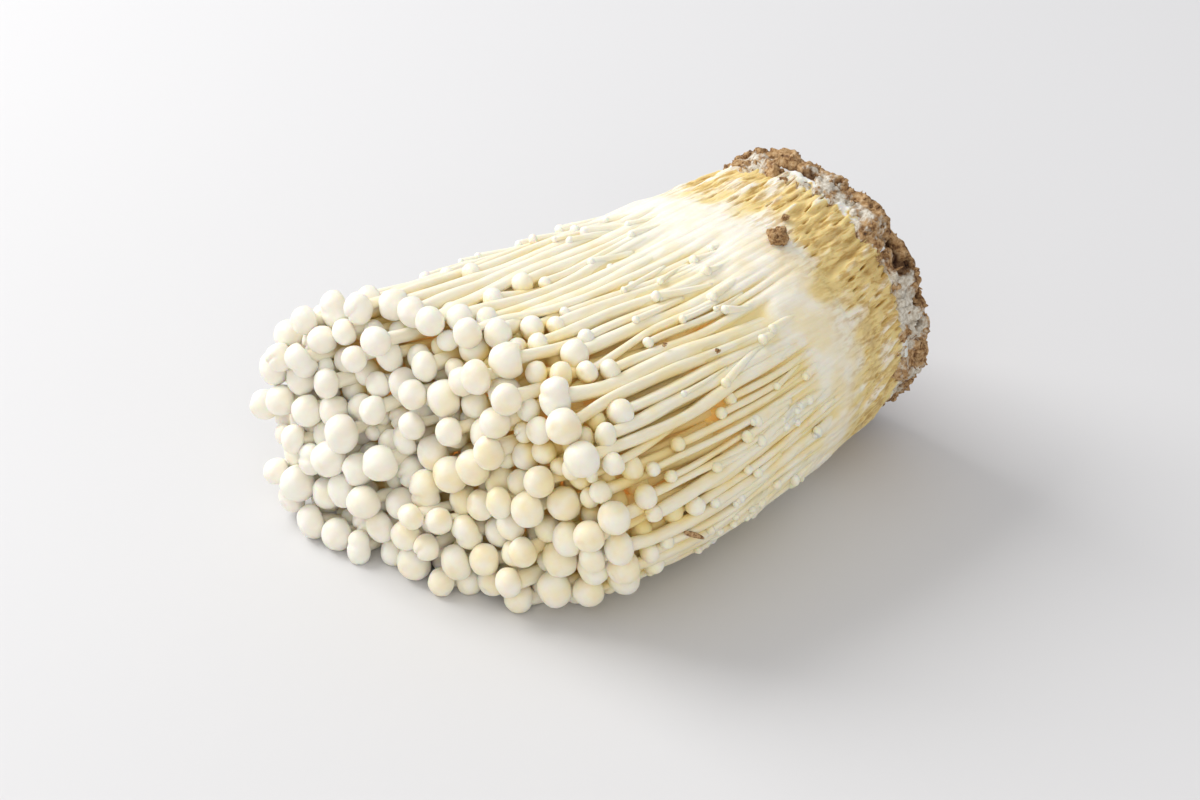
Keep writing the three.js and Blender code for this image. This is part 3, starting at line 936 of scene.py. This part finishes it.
def stem_rings(stem, line):
    """The rings of a stem: thicker where it leaves the foot, and a little uneven."""
    outwards = np.array([0.0, math.cos(angle_of[stem]), math.sin(angle_of[stem])])
    _, out, across = frames_along(line, outwards)
    around = np.arange(STEM_SIDES) * 2.0 * math.pi / STEM_SIDES
    grown_up = smoothstep(-(line[:, 0] - sheaf_origin[0]), 25.0, 70.0)
    swelling = unevenness(line * [0.12, 0.3, 0.3] + stem * 7.7, 1.0, 2, 23)
    radius = stem_of[stem] * (1.12 - 0.12 * grown_up + 0.10 * swelling)
    flatness = 0.12 * np.cos(2.0 * (around + stem)) + 0.05 * np.cos(3.0 * around + stem)
    ring = radius[:, None] * (1.0 + flatness)
    offset = out[:, None] * np.cos(around)[None, :, None]
    offset = offset + across[:, None] * np.sin(around)[None, :, None]
    rings = line[:, None] + ring[..., None] * offset
    rings[..., 2] = np.maximum(rings[..., 2], 0.05)
    return rings


def cap_rings(stem, line, sides):
    """The rings of a cap, tilted a little on its stem, oval, and sometimes dented or creased."""
    reach = np.array(CAP_OUTLINE)
    steps = np.concatenate([[0.0], np.cumsum(np.hypot(*np.diff(reach, axis=0).T))])
    run = np.linspace(0.0, steps[-1], CAP_RINGS if sides == CAP_SIDES else PIN_RINGS)
    out = np.interp(run, steps, reach[:, 0])[:, None]
    up = np.interp(run, steps, reach[:, 1])[:, None]
    around = np.arange(sides)[None] * 2.0 * math.pi / sides
    oval = chance.uniform(-0.07, 0.07)
    tallness = chance.uniform(0.86, 1.08)
    shape = np.stack([out * np.cos(around) * (1.0 + oval), out * np.sin(around) * (1.0 - oval),
                      np.broadcast_to(up, out.shape[:1] + around.shape[1:]) * tallness], axis=-1)
    quirk = chance.random()
    toward = chance.uniform(-1.0, 1.0, 2) * 0.5
    top = smoothstep(up, 0.1, 0.6)
    if quirk < DENTED:
        near = np.exp(-((shape[..., 0] - toward[0]) ** 2 + (shape[..., 1] - toward[1]) ** 2) / 0.07)
        shape[..., 2] -= DENT_DEPTH * near * top
    elif quirk < CREASED:
        near = np.exp(-(shape[..., 0] * 0.8 + shape[..., 1] * 0.6 - 0.3 * toward[0]) ** 2 / 0.012)
        shape[..., 2] -= CREASE_DEPTH * near * top
    elif quirk < WAISTED:
        shape[..., 0] *= 1.22
        waist = np.exp(-(shape[..., 0] - toward[0]) ** 2 / 0.03)
        shape *= 1.0 - WAIST_DEPTH * waist[..., None]
    shape *= 1.0 + 0.05 * unevenness(shape * 1.1 + stem * 3.1, 1.0, 2, 31)[..., None]
    along, outwards, across = (d[-1] for d in frames_along(line[-3:], np.array([0.0, 0.3, 1.0])))
    turn = chance.uniform(0.0, 2.0 * math.pi)
    tilt = Matrix.Rotation(chance.normal(0.0, 0.16), 3, Vector((math.cos(turn), math.sin(turn), 0.0)))
    axes = np.stack([outwards, across, along], axis=0)
    shape = shape @ np.array(tilt).T @ axes
    rings = line[-1] + shape * cap_of[stem]
    rings[..., 2] = np.maximum(rings[..., 2], 0.05)
    return rings


def flesh_material(name, roughness, soaks_in, soak_depth, relief, **colours):
    """Mushroom flesh with a share of light that soaks in, and bump of a depth in millimetres."""
    material, tree, shader = new_material(name, roughness, soaks_in, soak_depth)
    flesh = placed_group(tree, mushroom_flesh, shelter=painted(tree, "shelter"), **colours)
    tree.links.new(flesh["Color"], shader.inputs["Base Color"])
    tree.links.new(flesh["Glow"], shader.inputs["Emission Color"])
    shader.inputs["Emission Strength"].default_value = LIGHT_THROUGH_FLESH
    raise_surface(tree, shader, flesh["Height"], relief)
    return material


stem_skin = flesh_material("stem_skin", 0.50, 0.3, 0.6, 0.10)
cap_skin = flesh_material("cap_skin", 0.42, 0.5, 2.2, 0.03, pale=(0.95, 0.915, 0.825, 1.0),
                          fibres=260.0)


def joined(blocks, map_columns):
    """Puts closed drums of rings together: points, quads and triangles, and a bake map."""
    map_rows = math.ceil(len(blocks) / map_columns)
    points, quads, triangles, quad_map, triangle_map, first = [], [], [], [], [], 0
    for number, rings in enumerate(blocks):
        sides, ends = drum_faces(*rings.shape[:2])
        points.append(with_ends(rings))
        quads.append(sides + first)
        triangles.append(ends + first)
        first += len(points[-1])
        corner = np.array([number % map_columns, number // map_columns])
        own_map = (drum_map(*rings.shape[:2]) * 0.95 + 0.025 + corner) / [map_columns, map_rows]
        quad_map.append(own_map[:sides.size])
        triangle_map.append(own_map[sides.size:])
    faces = [np.concatenate(quads), np.concatenate(triangles)]
    return np.concatenate(points), faces, np.concatenate(quad_map + triangle_map)


lines = [middle_line(stem) for stem in range(stems)]

# Stubs are the stems that hardly grew: they come out of the skin and lie over the others,
# everywhere but underneath.
STUBS = 110
STUB_RINGS = 16
STUB_STARTS = (33.0, 66.0)
STUB_LENGTHS = (7.0, 19.0)
STUB_SIZES = (0.7, 1.25)
STUB_DEPTH = 1.6
STUB_LIFTS = (1.1, 2.0)
UNDERNEATH = -0.8
FIRST_OUTER_TUFT = 20
stub_angle = []
while len(stub_angle) < STUBS:
    tried = chance.uniform(-math.pi, math.pi)
    if math.sin(tried) > UNDERNEATH:
        stub_angle.append(tried)
stub_angle = np.array(stub_angle)
stub_from = chance.uniform(*STUB_STARTS, STUBS)
stub_length = chance.uniform(*STUB_LENGTHS, STUBS)
stub_lean = chance.normal(0.0, 0.09, STUBS)
stub_bend = chance.normal(0.0, 0.9, STUBS)
stub_lift = chance.uniform(*STUB_LIFTS, STUBS)
for stub in range(STUBS):
    run = np.linspace(0.0, 1.0, STUB_RINGS)
    distance = stub_from[stub] + stub_length[stub] * run
    out_here = girth(stub_angle[stub], distance)
    aside = stub_length[stub] * stub_lean[stub] * run + stub_bend[stub] * run ** 2
    depth = STUB_DEPTH - stub_lift[stub] * run
    lines.append(place(stub_angle[stub] + aside / out_here, 1.0 - depth / out_here, distance, 1.0))
stub_stem = chance.uniform(*STUB_SIZES, STUBS)
stub_turn = (stub_angle % (2.0 * math.pi)) / (2.0 * math.pi)
stub_tuft = FIRST_OUTER_TUFT + (stub_turn * TUFTS_PER_RING[-1]).astype(int)
tuft_of = np.concatenate([tuft_of, stub_tuft])
kind_of = np.concatenate([kind_of, np.full(STUBS, PIN)])
angle_of = np.concatenate([angle_of, stub_angle])
stem_of = np.concatenate([stem_of, stub_stem])
cap_of = np.concatenate([cap_of, stub_stem * chance.uniform(1.05, 1.5, STUBS)])

for tuft in range(1, tuft_of.max() + 1):
    members = np.flatnonzero(tuft_of == tuft)
    node = f"tuft_{tuft:02d}"
    blocks = [stem_rings(stem, lines[stem]) for stem in members]
    points, faces, bake_map = joined(blocks, len(blocks))
    add_piece(f"{node}_stems", points, faces, stem_skin, node,
              {"shelter": painted_shade_and_bounce_of(points)}, bake_map)
    blocks = [cap_rings(stem, lines[stem], PIN_SIDES if kind_of[stem] == PIN else CAP_SIDES)
              for stem in members]
    points, faces, bake_map = joined(blocks, math.ceil(math.sqrt(len(blocks))))
    add_piece(f"{node}_caps", points, faces, cap_skin, node,
              {"shelter": painted_shade_and_bounce_of(points)}, bake_map)


# ---- Skin ----
# Above the foot the stems are covered by one soft white skin, which sinks between them further
# up and tears into a fringe, so that they come out of it like fingers out of a glove.

SKIN_AROUND = 1080
SKIN_STEP = 0.62
SKIN_END = 76.0
SKIN_SOFTNESS = 0.45
SMOOTH_WIDTH = 0.65
END_SINK = 1.5
NO_STEM = -9.0

distance = np.arange(FOOT_LENGTH - SEAM_OVERLAP, SKIN_END, SKIN_STEP)[:, None]
angle = np.linspace(-math.pi, math.pi, SKIN_AROUND, endpoint=False)[None, :]
skin_girth = girth(angle, distance)
outermost = np.flatnonzero(is_outermost)
ribs = np.full(np.broadcast_shapes(distance.shape, angle.shape), NO_STEM)
for stem in outermost:
    row = (distance[:, 0] - FIRST_SLICE) / SLICE
    lower = np.clip(row.astype(int), 0, len(slices) - 2)
    part = (row - lower)[:, None]
    spot = paths[lower, stem] * (1.0 - part) + paths[lower + 1, stem] * part
    spot = np.concatenate([sheaf_origin[0] - distance, spot], axis=1)
    rib_angle, rib_share, _ = unplace(spot)
    aside = (angle - rib_angle[:, None] + math.pi) % (2.0 * math.pi) - math.pi
    aside = aside * skin_girth
    rib_depth = (1.0 - rib_share[:, None]) * skin_girth
    above = stem_of[stem] ** 2 - aside ** 2
    top = np.where(above > 0.0, np.sqrt(np.clip(above, 0.0, None)) - rib_depth, NO_STEM)
    top = np.where(distance > length_of[stem] - cap_of[stem], NO_STEM, top)
    ribs = np.maximum(ribs, top)

fringe = unevenness(round_the_sheaf(angle, distance, 3.5), 7.0, 2, 61)
folds = unevenness(round_the_sheaf(angle, distance, 2.5), 5.0, 3, 63)
smooth_side = np.exp(-((angle - SHOULDER_ANGLE) / SMOOTH_WIDTH) ** 2)
worn = distance + 11.0 * fringe - 7.0 * smooth_side
filling = 0.25 - 1.5 * smoothstep(worn, 30.0, 46.0) - 4.2 * smoothstep(worn, 44.0, 70.0)
coat = 0.35 - 0.75 * smoothstep(worn, 36.0, 60.0)
filling = filling + 0.35 * folds
height = np.maximum(ribs + coat, filling)
apart = np.abs(ribs + coat - filling)
height = height + SKIN_SOFTNESS * np.log1p(np.exp(-apart / SKIN_SOFTNESS))
height = np.clip(height, -7.0, 0.9)
height = height - END_SINK * smoothstep(distance, SKIN_END - 8.0, SKIN_END - 1.0)
rind_height, yellow, slits = foot_relief(angle, distance)
ease_in = smoothstep(distance, FOOT_LENGTH, FOOT_LENGTH + 9.0)
under_foot = SEAM_DEPTH * (np.clip(FOOT_LENGTH - distance, 0.0, None) / SEAM_OVERLAP) ** 2
height = height * ease_in + rind_height - under_foot
skin_points = place(angle, 1.0 + height / skin_girth, distance, 0.05)
# Painted shade: the skin turns yellower to orange where it sinks between the stems, on top of the
# rind's real yellowing and the painted bounce light.
local_low = np.clip((0.1 - height) / 5.5, 0.0, 1.0)
skin_shade_bounce_and_yellowing = np.clip(local_low * ease_in + yellow, 0.0, 1.0) + painted_bounce_light(angle)
skin_aged = np.broadcast_to(aged_at(distance), height.shape)
skin_values = {"shelter": with_ends(skin_shade_bounce_and_yellowing), "slit": with_ends(slits),
               "cotton": with_ends(np.zeros(height.shape)), "aged": with_ends(skin_aged)}
add_piece("fused_skin", with_ends(skin_points), drum_faces(len(distance), SKIN_AROUND), rind,
          "stem_base", skin_values, drum_map(len(distance), SKIN_AROUND))


# ---- Crumbs and splinter ----
# Bits of the sawdust that have fallen on the bunch and stuck: one chunk near the crust and
# three specks, which are pressed-together grains, and a splinter of wood that leans across
# the stems.

CRUMB_GRAINS = {"sawdust_crumb_1": 150, "sawdust_crumb_2": 26,
                "sawdust_crumb_3": 14, "sawdust_crumb_4": 12}
CRUMB_LIFT = 0.4

for name, count in CRUMB_GRAINS.items():
    low, high = np.array(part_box(name)) / MM
    half = (high - low) / 2.0
    at_angle, _, at_distance = unplace((low + high) / 2.0)
    rise = (0.45 * half.mean() + CRUMB_LIFT) / girth(at_angle, at_distance)
    middle = place(at_angle, 1.0 + rise, at_distance)
    towards = chance.normal(size=(count, 3))
    towards /= np.linalg.norm(towards, axis=1, keepdims=True)
    out = chance.random(count)[:, None] ** 0.5
    radii = half.mean() * (0.14 + 0.30 * chance.random(count) ** 2)
    centres = middle + towards * out * (half - radii[:, None]) * [1.0, 1.0, 0.8]
    centres = np.concatenate([[middle], centres])
    radii = np.concatenate([[half.mean() * 0.5], radii])
    grain_points, grain_triangles = grains_at(centres, radii, chance.uniform(1.0, 1.7, count + 1))
    add_piece(name + "_grains", grain_points, [grain_triangles], loose_sawdust, name,
              {"threads": np.zeros(len(grain_points)), "hollow_shade": np.zeros(len(grain_points))})

SPLINTER_RINGS = 40
SPLINTER_SIDES = 12
SPLINTER_LEAN = 0.33
SPLINTER_LIFT = 0.2
SPLINTER_WIDTH = 0.6
corners = np.array([v.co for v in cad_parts["wood_splinter"].data.vertices]) / MM
lengthwise = np.linalg.svd(corners - corners.mean(axis=0))[2][0]
half_length = np.abs((corners - corners.mean(axis=0)) @ lengthwise).max()
at_angle, _, at_distance = unplace(corners.mean(axis=0))
middle = np.ravel(place(at_angle, 1.0, at_distance))
upwards = np.ravel(place(at_angle, 1.2, at_distance)) - middle
upwards /= np.linalg.norm(upwards)
lengthwise = lengthwise - (lengthwise @ upwards) * upwards
lengthwise /= np.linalg.norm(lengthwise) * math.copysign(1.0, lengthwise[0])
sidewise = np.cross(upwards, lengthwise)
tops_beneath = []
for line, thickness in zip(lines, stem_of):
    offset = line - middle
    run = offset @ lengthwise
    is_crossed = (np.abs(run) < half_length) & (np.abs(offset @ sidewise) < thickness)
    tops = offset @ upwards + thickness - run * math.tan(SPLINTER_LEAN)
    tops_beneath.extend(tops[is_crossed])
middle = middle + (max(tops_beneath) + SPLINTER_LIFT) * upwards
lengthwise = math.cos(SPLINTER_LEAN) * lengthwise + math.sin(SPLINTER_LEAN) * upwards
along = np.linspace(-1.0, 1.0, SPLINTER_RINGS)[:, None]
around = np.arange(SPLINTER_SIDES)[None] * 2.0 * math.pi / SPLINTER_SIDES
narrowing = np.sqrt(np.clip(1.02 - np.abs(along) ** 3, 0.0, 1.0))
split = 1.0 + 0.22 * np.cos(3.0 * around + 2.0 * along) + 0.12 * np.cos(5.0 * around)
wide = SPLINTER_WIDTH * narrowing * split
splinter_rings = (middle + along[..., None] * half_length * lengthwise
                  + (wide * np.cos(around))[..., None] * sidewise
                  + (0.7 * wide * np.sin(around))[..., None] * np.cross(lengthwise, sidewise))
splinter_points, splinter_faces, splinter_map = joined([splinter_rings], 1)
splinter_values = {"threads": np.zeros(len(splinter_points)),
                   "hollow_shade": np.full(len(splinter_points), 0.05)}
add_piece("splinter_chip", splinter_points, splinter_faces, loose_sawdust, "wood_splinter",
          splinter_values, splinter_map)


# ---- Room ----
# A pale floor under soft daylight from behind and above, with a weak warm light in front. The
# camera looks down on the caps.

VIEW_AZIMUTH = math.radians(-43.0)
VIEW_ELEVATION = math.radians(34.0)
VIEW_DISTANCE = 0.745
VIEW_TARGET = Vector((-0.00354, -0.00393, 0.029))
FLOOR_HALF = 3.0
LENS_LENGTH = 85.0

floor_mesh = bpy.data.meshes.new("floor")
floor_corners = [(-FLOOR_HALF, -FLOOR_HALF, 0.0), (FLOOR_HALF, -FLOOR_HALF, 0.0),
                 (FLOOR_HALF, FLOOR_HALF, 0.0), (-FLOOR_HALF, FLOOR_HALF, 0.0)]
floor_mesh.from_pydata(floor_corners, [], [(0, 1, 2, 3)])
floor = bpy.data.objects.new("floor", floor_mesh)
bpy.context.scene.collection.objects.link(floor)
material, tree, shader = new_material("pale_floor", 0.75)
shade = colours_over(tree, noise(tree, 3.0), [
    (0.2, (0.695, 0.695, 0.705)), (0.8, (0.715, 0.715, 0.725))])
tree.links.new(shade, shader.inputs["Base Color"])
floor_mesh.materials.append(material)

world = bpy.data.worlds.new("pale_room")
world.use_nodes = True
world.node_tree.nodes["Background"].inputs["Color"].default_value = (0.97, 0.975, 1.0, 1.0)
world.node_tree.nodes["Background"].inputs["Strength"].default_value = 0.62
bpy.context.scene.world = world


def soft_light(name, place_at, power, size, colour):
    """A square lamp that faces the object."""
    lamp = bpy.data.lights.new(name, "AREA")
    lamp.energy = power
    lamp.size = size
    lamp.color = colour
    light = bpy.data.objects.new(name, lamp)
    light.location = place_at
    light.rotation_euler = (-light.location).to_track_quat("-Z", "Y").to_euler()
    bpy.context.scene.collection.objects.link(light)


soft_light("window", Vector((-0.35, 1.1, 0.95)), 18.5, 0.9, (1.0, 0.99, 0.97))
soft_light("reflector", Vector((-0.9, -0.9, 0.8)), 4.6, 1.2, (1.0, 0.93, 0.82))

lens = bpy.data.cameras.new("camera")
lens.lens = LENS_LENGTH
camera = bpy.data.objects.new("camera", lens)
back = Vector((math.sin(VIEW_AZIMUTH) * math.cos(VIEW_ELEVATION),
               -math.cos(VIEW_AZIMUTH) * math.cos(VIEW_ELEVATION), math.sin(VIEW_ELEVATION)))
camera.location = VIEW_TARGET + back * VIEW_DISTANCE
camera.rotation_euler = back.to_track_quat("Z", "Y").to_euler()
bpy.context.scene.collection.objects.link(camera)
bpy.context.scene.camera = camera
bpy.context.scene.view_settings.view_transform = "Standard"
